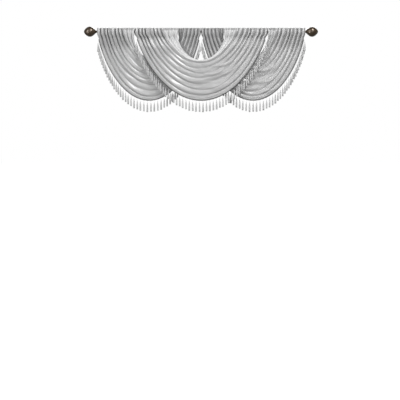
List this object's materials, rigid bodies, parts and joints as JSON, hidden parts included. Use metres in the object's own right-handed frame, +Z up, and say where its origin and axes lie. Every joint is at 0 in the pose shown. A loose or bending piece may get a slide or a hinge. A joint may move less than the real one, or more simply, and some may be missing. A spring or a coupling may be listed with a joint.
{
  "type": "waterfall valance on rod",
  "caption": "Gathered satin waterfall valances with open cowls and tassel fringes, overlapping on one curtain rod with turned finials.",
  "frame": {"origin": "the rod's axis at the middle of its length", "axes": "+X along the rod to the right as seen from the room, +Y towards the wall, +Z up; the front faces -Y"},
  "size_m": [2.6306, 0.1303, 0.9607],
  "materials": {
    "rod": "antique bronze, satin",
    "finial": "antique bronze, satin",
    "satin": "silver-grey satin, soft sheen",
    "yarn": "silver-grey twisted yarn"
  },
  "bodies": {
    "root": {"rod": "rod", "finial_left": "finial", "finial_right": "finial", "valance_left": "satin", "valance_centre": "satin", "valance_right": "satin", "fringe_left": "yarn", "fringe_centre": "yarn", "fringe_right": "yarn"}
  },
  "joints": []
}
